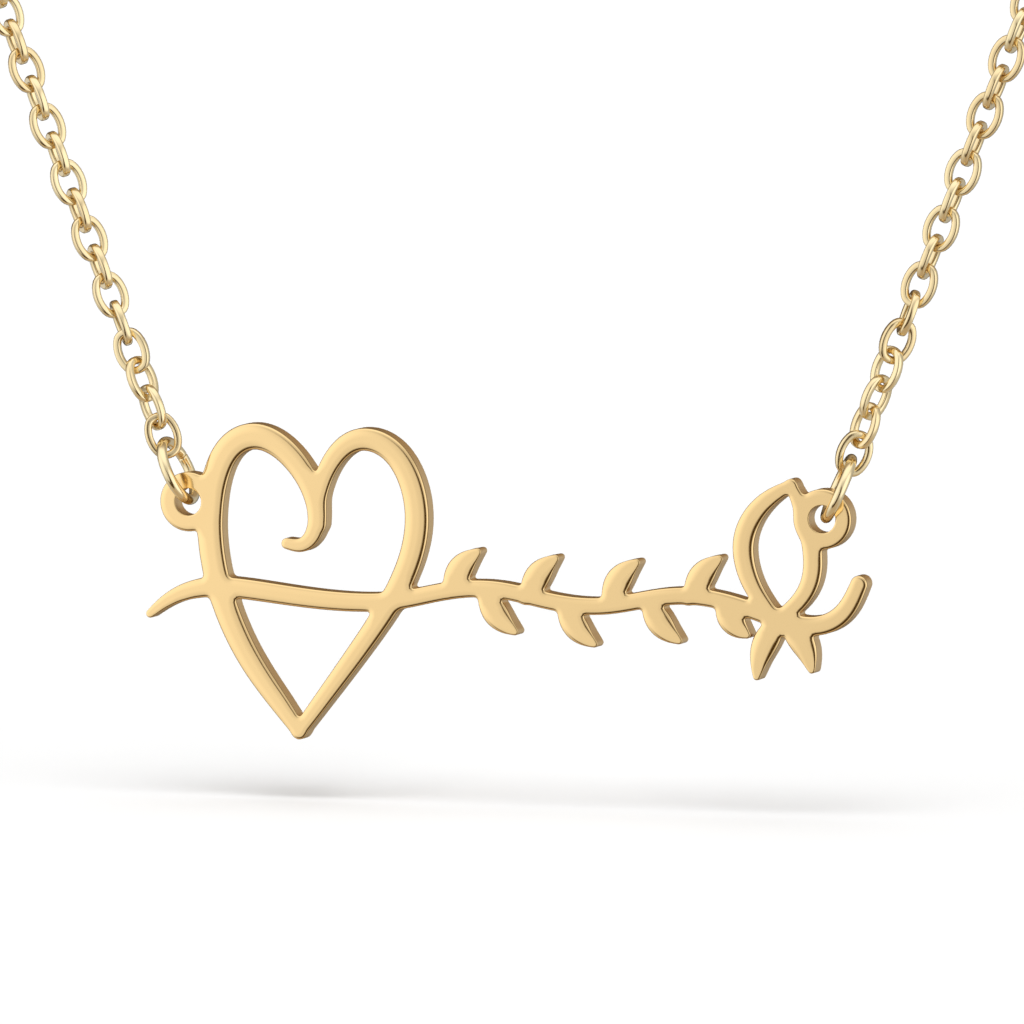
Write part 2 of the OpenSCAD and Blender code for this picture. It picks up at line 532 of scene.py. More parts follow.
@dataclass
class Surface:
    """Points and faces of one piece, in millimetres, which become one object in metres.

    Args:
        name: The object's name.
        points: One point to a row.
        faces: The point numbers of each face, outward side first.
        normals: The normal at each point, where the shape has known ones.
        marks: Numbers kept at each point, by name.
    """

    name: str
    points: np.ndarray
    faces: Faces
    normals: np.ndarray | None = None
    marks: dict[str, np.ndarray] = field(default_factory=dict)

    def build(self, finish: bpy.types.Material) -> bpy.types.Object:
        """Make the object.

        Args:
            finish: Its material.

        Returns:
            The new object, at the origin.
        """
        mesh = bpy.data.meshes.new(self.name)
        mesh.from_pydata((self.points * MM).tolist(), [], self.faces)
        for name, values in self.marks.items():
            keep_values(mesh, name, values)
        mesh.materials.append(finish)
        mesh.shade_smooth()
        if self.normals is not None:
            mesh.normals_split_custom_set_from_vertices(self.normals.tolist())
        return in_scene(self.name, mesh)


def band(first: int, second: int, count: int) -> Faces:
    """Join two closed rings of points by a band of faces.

    Args:
        first: Number of the first ring's first point.
        second: Number of the second ring's first point.
        count: How many points each ring has.

    Returns:
        One face of four corners for each point.
    """
    after = [(k + 1) % count for k in range(count)]
    return [(first + k, second + k, second + n, first + n) for k, n in enumerate(after)]


def revolved(profile: np.ndarray, sides: int) -> tuple[np.ndarray, Faces]:
    """Turn a profile about the X axis into a closed shape.

    Args:
        profile: Rows of X and radius, from one pole to the other, with growing X.
        sides: How many faces go round.

    Returns:
        The points and the faces.
    """
    angles = np.arange(sides) * 2 * np.pi / sides
    rings = [
        np.stack([np.full(sides, x), r * np.cos(angles), r * np.sin(angles)], axis=1)
        for x, r in profile[1:-1]
    ]
    points = np.vstack([[[profile[0, 0], 0, 0]], *rings, [[profile[-1, 0], 0, 0]]])
    last = len(points) - 1
    faces: Faces = []
    for k in range(sides):
        n = (k + 1) % sides
        faces += [(0, 1 + n, 1 + k), (last, last - sides + k, last - sides + n)]
        for start in range(1, last - sides, sides):
            faces.append((start + k, start + n, start + sides + n, start + sides + k))
    return points, faces


def wire_loop(
    radius: float, wire: float, cut: float | None, around: int, sides: int
) -> tuple[np.ndarray, Faces]:
    """Bend a wire into a ring in the YZ plane.

    Args:
        radius: Radius of the wire's middle line.
        wire: The wire's diameter.
        cut: Angle of the saw cut where the wire's ends meet, in degrees from +Y, or None.
        around: How many faces go round the ring.
        sides: How many faces go round the wire.

    Returns:
        The points and the faces.
    """
    turns = np.arange(sides) * 2 * np.pi / sides
    if cut is None:
        stations = [(a, wire / 2) for a in np.arange(around) * 2 * np.pi / around]
    else:
        half_cut, edge = SAW_CUT / 2 / radius, wire * CUT_EDGE_SHARE
        start = math.radians(cut) + half_cut
        end = math.radians(cut) + 2 * math.pi - half_cut
        middle = np.linspace(start + edge / radius, end - edge / radius, around)
        stations = [(a, wire / 2) for a in middle]
        stations = [(start, wire / 2 - edge), *stations, (end, wire / 2 - edge)]
    points = []
    for a, r in stations:
        out = radius + r * np.cos(turns)
        points.append(np.stack([r * np.sin(turns), out * math.cos(a), out * math.sin(a)], axis=1))
    count = len(stations)
    faces: Faces = []
    for i in range(count if cut is None else count - 1):
        faces += band(i * sides, (i + 1) % count * sides, sides)
    if cut is not None:
        faces.append(tuple(range(sides)))
        faces.append(tuple(range((count - 1) * sides, count * sides))[::-1])
    return np.vstack(points), faces


@dataclass
class Outline:
    """The plate's outline, kept as each grid point's distance from it, negative in the metal.

    Args:
        low: Lowest X and Z of the grid, in millimetres.
        high: Highest X and Z.
        cell: Spacing of the grid.
        blend: How wide two strokes flow into each other where they meet.
        reach: How far from the outline its distance is worked out.
        fewest_points: The least number of points on a closed line.
        evenings: How often a closed line's points are evened out.
        returns: How often they are brought back onto the outline after that.
    """

    low: tuple[float, float]
    high: tuple[float, float]
    cell: float = 0.05
    blend: float = 0.22
    reach: float = 1.2
    fewest_points: int = 12
    evenings: int = 3
    returns: int = 2

    def __post_init__(self) -> None:
        """Lay out the grid, with nothing on it."""
        self.xs = np.arange(self.low[0], self.high[0], self.cell)
        self.zs = np.arange(self.low[1], self.high[1], self.cell)
        self.metal = np.full((len(self.xs), len(self.zs)), self.reach)

    def _window(self, centre: np.ndarray, radius: float) -> tuple[slice, slice]:
        """Find the grid points near a disc.

        Args:
            centre: The disc's middle.
            radius: Its radius.

        Returns:
            The rows and columns of the grid that it can change.
        """
        first = ((centre - radius - self.reach - np.array(self.low)) / self.cell).astype(int)
        last = ((centre + radius + self.reach - np.array(self.low)) / self.cell).astype(int) + 2
        return slice(max(first[0], 0), last[0]), slice(max(first[1], 0), last[1])

    def add(self, discs: np.ndarray) -> None:
        """Add one stroke, drawn by a row of discs.

        Args:
            discs: Rows of X, Z and diameter.
        """
        stroke = np.full_like(self.metal, self.reach)
        for x, z, width in discs:
            rows, columns = self._window(np.array([x, z]), width / 2)
            away = np.hypot(self.xs[rows, None] - x, self.zs[None, columns] - z) - width / 2
            stroke[rows, columns] = np.minimum(stroke[rows, columns], away)
        # The nearer of the two, with the corner between them filled a little.
        near = np.maximum(self.blend - np.abs(self.metal - stroke), 0)
        self.metal = np.minimum(self.metal, stroke) - near**2 / (4 * self.blend)

    def drill(self, centre: tuple[float, float], diameter: float) -> None:
        """Cut a round hole.

        Args:
            centre: The hole's middle.
            diameter: Its diameter.
        """
        away = np.hypot(self.xs[:, None] - centre[0], self.zs[None, :] - centre[1])
        self.metal = np.maximum(self.metal, diameter / 2 - away)

    def at(self, points: np.ndarray) -> np.ndarray:
        """Read the distance at points between the grid's own.

        Args:
            points: Rows of X and Z.

        Returns:
            The distance at each.
        """
        place = (points - np.array(self.low)) / self.cell
        limit = np.array(self.metal.shape) - 2
        whole = np.clip(np.floor(place).astype(int), 0, limit)
        u, v = (place - whole).T
        i, j = whole.T
        m = self.metal
        return (
            m[i, j] * (1 - u) * (1 - v)
            + m[i + 1, j] * u * (1 - v)
            + m[i, j + 1] * (1 - u) * v
            + m[i + 1, j + 1] * u * v
        )

    def _crossing(self, a: tuple[int, int], b: tuple[int, int]) -> np.ndarray:
        """Find where the outline crosses the line between two grid points.

        Args:
            a: Row and column of the one point.
            b: Row and column of the other.

        Returns:
            The X and Z of the crossing.
        """
        share = self.metal[a] / (self.metal[a] - self.metal[b])
        start = np.array([self.xs[a[0]], self.zs[a[1]]])
        end = np.array([self.xs[b[0]], self.zs[b[1]]])
        return start + (end - start) * share

    def loops(self, spacing: float) -> list[np.ndarray]:
        """Follow the outline round the metal.

        Args:
            spacing: Spacing of the points that are given back.

        Returns:
            Closed lines of points, with the metal on the left of each.
        """
        inside = self.metal < 0
        mixed = inside[:-1, :-1].astype(int) + inside[1:, :-1] + inside[1:, 1:] + inside[:-1, 1:]
        after: dict[tuple, tuple] = {}
        where: dict[tuple, np.ndarray] = {}
        for i, j in np.argwhere((mixed > 0) & (mixed < 4)):
            corners = [(i, j), (i + 1, j), (i + 1, j + 1), (i, j + 1)]
            leaving, entering = [], []
            for k in range(4):
                a, b = corners[k], corners[(k + 1) % 4]
                if inside[a] == inside[b]:
                    continue
                edge = (min(a, b), max(a, b))
                where[edge] = self._crossing(a, b)
                (entering if inside[b] else leaving).append(edge)
            if len(leaving) == 2:
                # Two crossings of the same cell: pair each with the nearer end.
                d = [np.linalg.norm(where[leaving[0]] - where[e]) for e in entering]
                if d[0] > d[1]:
                    entering.reverse()
            for start, end in zip(leaving, entering):
                after[start] = end
        found = []
        while after:
            start, edge = after.popitem()
            line = [where[start]]
            while edge != start:
                line.append(where[edge])
                edge = after.pop(edge)
            line.append(where[start])
            found.append(self._evened(np.array(line), spacing))
        return found

    def _evened(self, line: np.ndarray, spacing: float) -> np.ndarray:
        """Give a closed line even points, and take the grid's steps out of it.

        Args:
            line: The closed line, whose last point is its first.
            spacing: Spacing of the new points.

        Returns:
            The new points, without a last one that repeats the first.
        """
        count = max(int(lengths_along(line)[-1] / spacing), self.fewest_points)
        points = evened(respaced(line, count + 1)[:-1], self.evenings)
        for _ in range(self.returns):
            points = points - self.at(points)[:, None] * outward(points)
        return points


def enclosed(places: np.ndarray, starts: np.ndarray, ends: np.ndarray) -> np.ndarray:
    """Tell which places lie inside closed lines, openings left out.

    Args:
        places: Rows of X and Z.
        starts: Where each edge of the closed lines starts.
        ends: Where each edge ends.

    Returns:
        For each place, whether a ray from it towards +X meets an odd number of edges.
    """
    inside = np.zeros(len(places), bool)
    rise = ends[:, 1] - starts[:, 1]
    slope = (ends[:, 0] - starts[:, 0]) / np.where(rise == 0, 1.0, rise)
    for k, (x, z) in enumerate(places):
        spans = (starts[:, 1] > z) != (ends[:, 1] > z)
        meets = starts[spans, 0] + (z - starts[spans, 1]) * slope[spans]
        inside[k] = np.count_nonzero(meets > x) % 2 == 1
    return inside


def outward(points: np.ndarray) -> np.ndarray:
    """Give the outward normals of a closed line with the metal on its left.

    Args:
        points: Rows of X and Z.

    Returns:
        A normal of length 1 for each.
    """
    along = unit(np.roll(points, -1, 0) - np.roll(points, 1, 0))
    return np.stack([along[:, 1], -along[:, 0]], axis=1)


@dataclass
class Plate:
    """The cut-out plate: a pen-drawn heart, a vine with leaves and a rosebud, and two eyelets.

    The strokes are rows of: place as a share of the width from the left tip, height above the
    stem as a share of the plate's height, and width as a share of the broadest stroke. Slopes of
    the softened edge are in degrees, from 0 on the flat of a face to 90 on the cut wall.

    Args:
        width: The plate's width, tip to tip.
        height: Its height.
        thickness: Its thickness.
        stroke: Width of the pen stroke at its broadest.
        leaf: Length of one small leaf.
        eyelet_share: Place of the right eyelet's middle, as a share of the width.
        eyelet_rise_share: Its height above the stem, as a share of the height.
        eyelet_bore: Diameter of an eyelet hole.
        eyelet_rim: Width of the metal round it.
        plane_y: Where the plate's middle plane lies.
        stem_z: How high the stem lies.
        edge_width: Width of the softened edge.
        edge_depth: How far it falls off.
        edge_power: How its section bends: 2 is an oval, and more keeps level for longer.
        edge_steps: How many bands of faces cross it.
        edge_limit: How much of the way to the middle of a stroke it may take.
        edge_reach: Over how many points each way a narrow edge holds.
        edge_evenings: How often its widths are evened out.
        bore_edge_share: How much of its width it has at an eyelet hole.
        bore_near: Distance from a hole's middle, as a share of its diameter, that is at the hole.
        bend_span: Over how many points each way a bend of the outline is measured.
        bend_share: How much of a bend's radius the edge may take.
        least_bend: The least bend that counts, as one over a radius.
        probe_step: Step of the depths at which the metal's own width is felt for.
        probe_end: Where those depths end.
        bow: How far the front's reflections spread, as the lean of its normals at the tips.
        spacing: Spacing of the points along the outline.
        margin: Room beside the tips that the outline's grid has.
        below_share: How far below the stem it reaches, as a share of the height.
        above_share: How far above the stem it reaches.
        curve_steps: Points worked out on each stretch of a stroke.
        disc_step: Spacing of the discs that draw a stroke.
        wall_start: Slope at which the edge starts to be cut wall.
        painted_edge_shade_start: Slope at which the thin painted shade line along the edge starts.
        painted_edge_shade_full: Slope at which that painted shade is darkest.
        painted_edge_shade_fade: Slope at which it starts to fade.
        heart_left: The heart's left half.
        heart_right: Its right half.
        stem: The vine's stem, from tip to tip.
        bud_left: The rosebud's left side.
        bud_right: Its right side.
        leaf_form: A leaf, as rows of: share along it, share aside, and width as above.
        leaves: Rows of each leaf's place, angle, share of the length, and side it bows to.
    """

    width: float = 41.6
    height: float = 16.9
    thickness: float = 1.2
    stroke: float = 1.35
    leaf: float = 2.9
    eyelet_share: float = 0.94
    eyelet_rise_share: float = 0.293
    eyelet_bore: float = 1.52
    eyelet_rim: float = 0.89
    plane_y: float = -54.0
    stem_z: float = -95.0
    edge_width: float = 0.58
    edge_depth: float = 0.19
    edge_power: float = 2.15
    edge_steps: int = 10
    edge_limit: float = 0.9
    edge_reach: int = 3
    edge_evenings: int = 4
    bore_edge_share: float = 0.18
    bore_near: float = 0.6
    bend_span: int = 2
    bend_share: float = 0.7
    least_bend: float = 0.1
    probe_step: float = 0.1
    probe_end: float = 1.0
    bow: float = 0.045
    spacing: float = 0.1
    margin: float = 2.0
    below_share: float = 0.6
    above_share: float = 0.7
    curve_steps: int = 12
    disc_step: float = 0.04
    wall_start: float = 68.0
    painted_edge_shade_start: float = 34.0
    painted_edge_shade_full: float = 56.0
    painted_edge_shade_fade: float = 74.0
    heart_left: tuple[Row, ...] = (
        (0.198, 0.165, 0.45), (0.225, 0.15, 0.6), (0.247, 0.24, 0.8), (0.228, 0.4, 0.95),
        (0.167, 0.54, 1.08), (0.104, 0.488, 1.12), (0.083, 0.225, 1.12), (0.103, -0.02, 1.08),
        (0.142, -0.22, 1), (0.189, -0.365, 0.85), (0.215, -0.45, 0.6),
    )
    heart_right: tuple[Row, ...] = (
        (0.215, -0.45, 0.6), (0.247, -0.345, 0.72), (0.303, -0.163, 0.85), (0.364, 0.052, 1),
        (0.389, 0.275, 1.05), (0.356, 0.49, 1), (0.292, 0.535, 0.92), (0.253, 0.425, 0.8),
        (0.239, 0.3, 0.7), (0.242, 0.23, 0.6),
    )
    stem: tuple[Row, ...] = (
        (0.006, -0.078, 0.35), (0.034, -0.02, 0.6), (0.08, 0.02, 0.85), (0.142, 0.013, 0.85),
        (0.24, -0.02, 0.8), (0.343, -0.026, 0.75), (0.413, 0.026, 0.72), (0.49, 0.045, 0.7),
        (0.566, -0.006, 0.7), (0.642, -0.02, 0.7), (0.719, 0.033, 0.7), (0.788, 0.033, 0.7),
        (0.858, -0.02, 0.72), (0.927, -0.072, 0.78), (0.972, -0.02, 0.82), (0.99, 0.085, 0.72),
    )
    bud_left: tuple[Row, ...] = (
        (0.878, -0.04, 0.6), (0.84, 0.065, 0.8), (0.824, 0.22, 0.95), (0.855, 0.345, 0.8),
        (0.897, 0.4, 0.45),
    )
    bud_right: tuple[Row, ...] = (
        (0.878, -0.04, 0.6), (0.917, 0.033, 0.75), (0.932, 0.143, 0.85), (0.917, 0.306, 0.8),
        (0.897, 0.4, 0.45),
    )
    leaf_form: tuple[Row, ...] = (
        (0, 0, 0.4), (0.2, 0.02, 0.8), (0.45, 0.08, 1.2), (0.72, 0.08, 0.85), (1, 0, 0.3),
    )
    leaves: tuple[Row, ...] = (
        (0.422, 0.02, 52, 1, 1), (0.47, 0.026, -48, 1, -1), (0.53, 0.006, 52, 1, 1),
        (0.58, -0.006, -48, 1, -1), (0.642, 0, 52, 1, 1), (0.697, 0.013, -48, 1, -1),
        (0.756, 0.02, 52, 1, 1), (0.8, 0.013, -48, 0.8, -1), (0.884, -0.02, -112, 1.28, -1),
        (0.887, -0.03, -60, 1.12, 1),
    )

    def eyelet(self, side: Side) -> tuple[float, float]:
        """Give the middle of an eyelet hole, as X and the height above the stem."""
        x = side.value * (self.eyelet_share - 0.5) * self.width
        return x, self.eyelet_rise_share * self.height

    def stroke_discs(self, rows: tuple[Row, ...]) -> np.ndarray:
        """Draw one pen stroke.

        Args:
            rows: The stroke's points, as shares.

        Returns:
            Rows of X, Z and diameter, close together, in millimetres.
        """
        shares = np.array(rows, float) - np.array([0.5, 0, 0])
        return self.close(shares * np.array([self.width, self.height, self.stroke]))

    def leaf_discs(self, leaf: Row) -> np.ndarray:
        """Draw one leaf.

        Args:
            leaf: Place as shares, angle, length as a share, and the side it bows to.

        Returns:
            Rows of X, Z and diameter, close together, in millimetres.
        """
        u, v, angle, length, side = leaf
        cos, sin = math.cos(math.radians(angle)), math.sin(math.radians(angle))
        form = np.array(self.leaf_form, float)
        long, aside = form[:, 0] * length * self.leaf, form[:, 1] * length * self.leaf * side
        x = (u - 0.5) * self.width + long * cos - aside * sin
        z = v * self.height + long * sin + aside * cos
        return self.close(np.stack([x, z, form[:, 2] * self.stroke], axis=1))

    def close(self, rows: np.ndarray) -> np.ndarray:
        """Fill a drawn line with discs that lie close together."""
        line = spline(rows, self.curve_steps)
        return respaced(line, max(int(lengths_along(line[:, :2])[-1] / self.disc_step), 2))

    def outline(self) -> Outline:
        """Draw the whole plate.

        Returns:
            The outline.
        """
        half = self.width / 2 + self.margin
        low, high = -self.height * self.below_share, self.height * self.above_share
        shape = Outline((-half, low), (half, high))
        for rows in (self.heart_left, self.heart_right, self.stem, self.bud_left, self.bud_right):
            shape.add(self.stroke_discs(rows))
        for leaf in self.leaves:
            shape.add(self.leaf_discs(leaf))
        rim = self.eyelet_bore + 2 * self.eyelet_rim
        for side in Side:
            shape.add(np.array([[*self.eyelet(side), rim]]))
        for side in Side:
            shape.drill(self.eyelet(side), self.eyelet_bore)
        return shape

    def section(self) -> list[Row]:
        """Work out the softened edge, from the flat of a face to the cut wall.

        It is a quarter of an oval that keeps level for longer and then falls off faster.

        Returns:
            Rows of: share of the edge's width inside the outline, share of the edge's depth, how
            far the normal points out of the edge, how far it points to the back, how much of a
            cut wall it is, and how much of the painted dark shade line above that wall.
        """
        p = self.edge_power
        rows = []
        for k in range(self.edge_steps + 1):
            a = math.pi / 2 * k / self.edge_steps
            across, fall = math.sin(a) ** (2 / p), math.cos(a) ** (2 / p)
            run, rise = fall ** (p - 1) * self.edge_width, across ** (p - 1) * self.edge_depth
            tilt = math.atan2(rise, run)
            slope = math.degrees(tilt)
            wall = smooth(slope, self.wall_start, 90)
            # The lip is painted shade: a thin dark line on the steeper part of the softened edge
            lip = smooth(slope, self.painted_edge_shade_start, self.painted_edge_shade_full) * (1 - smooth(slope, self.painted_edge_shade_fade, 90))
            rows.append((1 - across, 1 - fall, math.sin(tilt), -math.cos(tilt), wall, lip))
        return rows

    def edge_widths(self, loop: np.ndarray, out: np.ndarray, shape: Outline) -> np.ndarray:
        """Find how wide the softened edge may be at each point of the outline.

        Args:
            loop: One closed line of the outline.
            out: Its outward normals.
            shape: The plate's outline.

        Returns:
            The width of the edge at each point.
        """
        depths = np.arange(self.probe_step, self.probe_end, self.probe_step)
        inside = np.max([-shape.at(loop - out * d) for d in depths], axis=0)
        widths = np.minimum(self.edge_width, inside * self.edge_limit)
        for side in Side:
            away = np.linalg.norm(loop - np.array(self.eyelet(side)), axis=1)
            bore = away < self.eyelet_bore * self.bore_near
            widths = np.where(bore, self.edge_width * self.bore_edge_share, widths)
        before, after = np.roll(out, self.bend_span, 0), np.roll(out, -self.bend_span, 0)
        bend = np.cross(before, after) / (2 * self.bend_span * self.spacing)
        widths = np.minimum(widths, self.bend_share / np.maximum(bend, self.least_bend))
        reach = range(-self.edge_reach, self.edge_reach + 1)
        return evened(np.min([np.roll(widths, k) for k in reach], axis=0), self.edge_evenings)

    def build(self, finish: bpy.types.Material) -> bpy.types.Object:
        """Make the plate.

        Args:
            finish: Its material.

        Returns:
            The finished piece.
        """
        shape = self.outline()
        section = self.section()
        levels = [(-1, *row) for row in section]
        levels += [(1, i, d, side, -back, *mark) for i, d, side, back, *mark in reversed(section)]
        points, normals = [], []
        marks: dict[str, list[np.ndarray]] = {"wall": [], "lip": []}
        faces: Faces = []
        caps: dict[int, list[np.ndarray]] = {0: [], len(levels) - 1: []}
        first = 0
        for loop in shape.loops(self.spacing):
            n, out = len(loop), outward(loop)
            widths = self.edge_widths(loop, out, shape)[:, None]
            depths = self.edge_depth * widths[:, 0] / self.edge_width
            for level, (face, inset, depth, side, back, wall, lip) in enumerate(levels):
                flat = loop - out * inset * widths
                y = self.plane_y + face * (self.thickness / 2 - depths * depth)
                points.append(np.stack([flat[:, 0], y, flat[:, 1] + self.stem_z], axis=1))
                lean = self.bow * flat[:, 0] / self.width * 2 * max(-back, 0)
                normal = np.stack([out[:, 0] * side + lean, np.full(n, back), out[:, 1] * side], 1)
                normals.append(unit(normal))
                marks["wall"].append(np.full(n, wall))
                # Keep the share of the painted shade line at each point
                marks["lip"].append(np.full(n, lip))
                if level in caps:
                    caps[level].append(np.arange(first, first + n))
                if level:
                    faces += band(first - n, first, n)
                first += n
        places = np.vstack(points)
        for level, rings in caps.items():
            faces += self.cap(places, rings, level == 0)
        kept = {name: np.concatenate(values) for name, values in marks.items()}
        return Surface("cut_out_plate", places, faces, np.vstack(normals), kept).build(finish)

    @staticmethod
    def cap(places: np.ndarray, rings: list[np.ndarray], front: bool) -> Faces:
        """Fill a flat face of the plate between its rings of points.

        Args:
            places: All the points of the plate.
            rings: The point numbers of each closed ring of this face.
            front: Whether it is the front face.

        Returns:
            The faces.
        """
        numbers = np.concatenate(rings)
        flat = places[numbers][:, [0, 2]]
        edges, first = [], 0
        for ring in rings:
            n = len(ring)
            edges += [(first + k, first + (k + 1) % n) for k in range(n)]
            first += n
        corners = [Vector(p) for p in flat]
        _, _, triangles, origin, _, _ = delaunay_2d_cdt(corners, edges, [], 0, SAME_POINT)
        own = np.array([o[0] for o in origin])[np.array(triangles)]
        starts, ends = (flat[np.array(edges)[:, k]] for k in (0, 1))
        filled = numbers[own[enclosed(flat[own].mean(axis=1), starts, ends)]].tolist()
        return [tuple(t) if front else tuple(t[::-1]) for t in filled]


@dataclass
class Ring:
    """A jump ring of round wire, sawn through once.

    Args:
        side: Which ring it is.
        turn: Its turn about its own long line, in degrees.
        cut: Where its saw cut lies, in degrees from the back.
        diameter: Its outside diameter.
        wire: Its wire's diameter.
        lean: How far it leans outwards from the vertical, in degrees.
        lift: How far from the eyelet's middle, along its lean, its wire's middle line passes.
        around: How many faces go round the ring.
        sides: How many faces go round the wire.
    """

    side: Side
    turn: float
    cut: float
    diameter: float = 4.08
    wire: float = 0.6
    lean: float = 25.0
    lift: float = 0.1
    around: int = 96
    sides: int = 24

    @property
    def radius(self) -> float:
        """Radius of the wire's middle line."""
        return (self.diameter - self.wire) / 2

    def leaned(self, angle: float) -> np.ndarray:
        """Point up and outwards at an angle from the vertical."""
        a = math.radians(angle)
        return np.array([self.side.value * math.sin(a), 0.0, math.cos(a)])

    def middle(self, plate: Plate) -> np.ndarray:
        """Find the ring's middle from the eyelet that it hangs in.

        Args:
            plate: The plate.

        Returns:
            The middle of the ring.
        """
        x, rise = plate.eyelet(self.side)
        eyelet = np.array([x, plate.plane_y, plate.stem_z + rise])
        return eyelet + (self.lift + self.radius) * self.leaned(self.lean)

    def top(self, plate: Plate) -> np.ndarray:
        """Find the highest point of the wire's middle line."""
        return self.middle(plate) + self.radius * self.leaned(self.lean)

    def build(self, plate: Plate, finish: bpy.types.Material) -> bpy.types.Object:
        """Make the ring.

        Args:
            plate: The plate that it hangs in.
            finish: Its material.

        Returns:
            The finished piece.
        """
        points, faces = wire_loop(self.radius, self.wire, self.cut, self.around, self.sides)
        turn, lean = math.radians(self.turn), math.radians(self.lean) * self.side.value
        cos, sin = math.cos(turn), math.sin(turn)
        about_z = np.array([[cos, -sin, 0], [sin, cos, 0], [0, 0, 1]])
        cos, sin = math.cos(lean), math.sin(lean)
        about_y = np.array([[cos, 0, sin], [0, 1, 0], [-sin, 0, cos]])
        placed = points @ (about_y @ about_z).T + self.middle(plate)
        return Surface(f"ring_of_wire_{self.side.word}", placed, faces).build(finish)


@dataclass
class Clasp:
    """A plain barrel at the nape, with a soldered eye at each end.

    Args:
        length: The barrel's length.
        diameter: Its diameter.
        eye_diameter: Outside diameter of an eye.
        eye_wire: Diameter of an eye's wire.
        eye_sink: How much of its own wire an eye is sunk into the barrel.
        place: The clasp's middle.
        end_share: Rounding of the barrel's ends, as a share of its diameter.
        end_steps: Points along each rounded end.
        groove_width: Width of the turned groove.
        groove_depth: Its depth.
        groove_shoulder: How much of that depth lies above its steep walls.
        groove_floor: How much of its width is level.
        around: How many faces go round the barrel, and round an eye.
        eye_sides: How many faces go round an eye's wire.
    """

    length: float = 6.5
    diameter: float = 2.6
    eye_diameter: float = 2.6
    eye_wire: float = 0.5
    eye_sink: float = 0.25
    place: tuple[float, float, float] = (0.0, 48.0, 14.5)
    end_share: float = 0.25
    end_steps: int = 9
    groove_width: float = 0.22
    groove_depth: float = 0.06
    groove_shoulder: float = 0.3
    groove_floor: float = 0.6
    around: int = 48
    eye_sides: int = 16

    @property
    def eye_radius(self) -> float:
        """Radius of the middle line of an eye's wire."""
        return (self.eye_diameter - self.eye_wire) / 2

    @property
    def eye_x(self) -> float:
        """How far an eye's middle lies from the clasp's."""
        return self.length / 2 + self.eye_radius - self.eye_wire * self.eye_sink

    def profile(self) -> np.ndarray:
        """Draw half of the barrel's section, with rounded ends and a turned groove.

        Returns:
            Rows of X and radius, from pole to pole.
        """
        r, half = self.diameter / 2, self.length / 2
        rounding = self.diameter * self.end_share
        rows = [(-half, 0.0)]
        for a in np.linspace(0, math.pi / 2, self.end_steps):
            inset, drop = rounding * (1 - math.cos(a)), rounding * (1 - math.sin(a))
            rows.append((-half + inset, r - drop))
        w, d = self.groove_width / 2, self.groove_depth
        rows += [(-w - d, r), (-w, r - d * self.groove_shoulder)]
        rows += [(-w * self.groove_floor, r - d), (0.0, r - d)]
        return np.array(rows + [(-x, radius) for x, radius in reversed(rows[:-1])])

    def build(self, finish: bpy.types.Material) -> bpy.types.Object:
        """Make the clasp.

        Args:
            finish: Its material.

        Returns:
            The finished piece.
        """
        parts = [revolved(self.profile(), self.around)]
        for side in Side:
            sides = self.around, self.eye_sides
            ring, quads = wire_loop(self.eye_radius, self.eye_wire, None, *sides)
            flat = ring[:, [1, 0, 2]] * np.array([1, -1, 1])
            flat[:, 0] += side.value * self.eye_x
            parts.append((flat, quads))
        faces: Faces = []
        start = 0
        for points, quads in parts:
            faces += [tuple(start + v for v in face) for face in quads]
            start += len(points)
        placed = np.vstack([points for points, _ in parts]) + self.place
        return Surface("barrel_clasp", placed, faces).build(finish)


